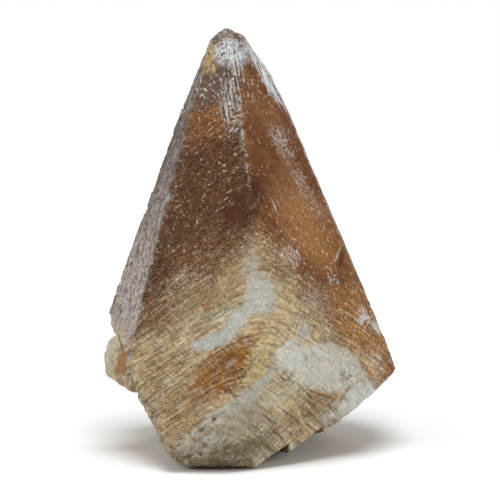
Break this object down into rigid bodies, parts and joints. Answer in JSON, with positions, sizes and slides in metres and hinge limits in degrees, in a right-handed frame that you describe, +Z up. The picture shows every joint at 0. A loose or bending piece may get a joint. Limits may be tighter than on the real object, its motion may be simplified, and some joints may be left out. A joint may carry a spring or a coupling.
{
  "type": "double terminated calcite crystal",
  "caption": "Honey-brown dogtooth calcite crystal: a tall worn pyramid above and a blunt, frosted lower termination that it stands on.",
  "frame": {"origin": "on the ground, under the middle of the crystal's bounding box", "axes": "+Z up, along the crystal's tall direction, with the tip leaning back to +Y and a little to -X; -Y is the front with the central ridge; +X is the right"},
  "size_m": [0.058, 0.0604, 0.0828],
  "materials": {
    "calcite": "translucent honey-brown calcite, satin with fine etched striations, frosted white where it is worn"
  },
  "bodies": {
    "root": {"calcite_crystal": "calcite"}
  },
  "joints": []
}
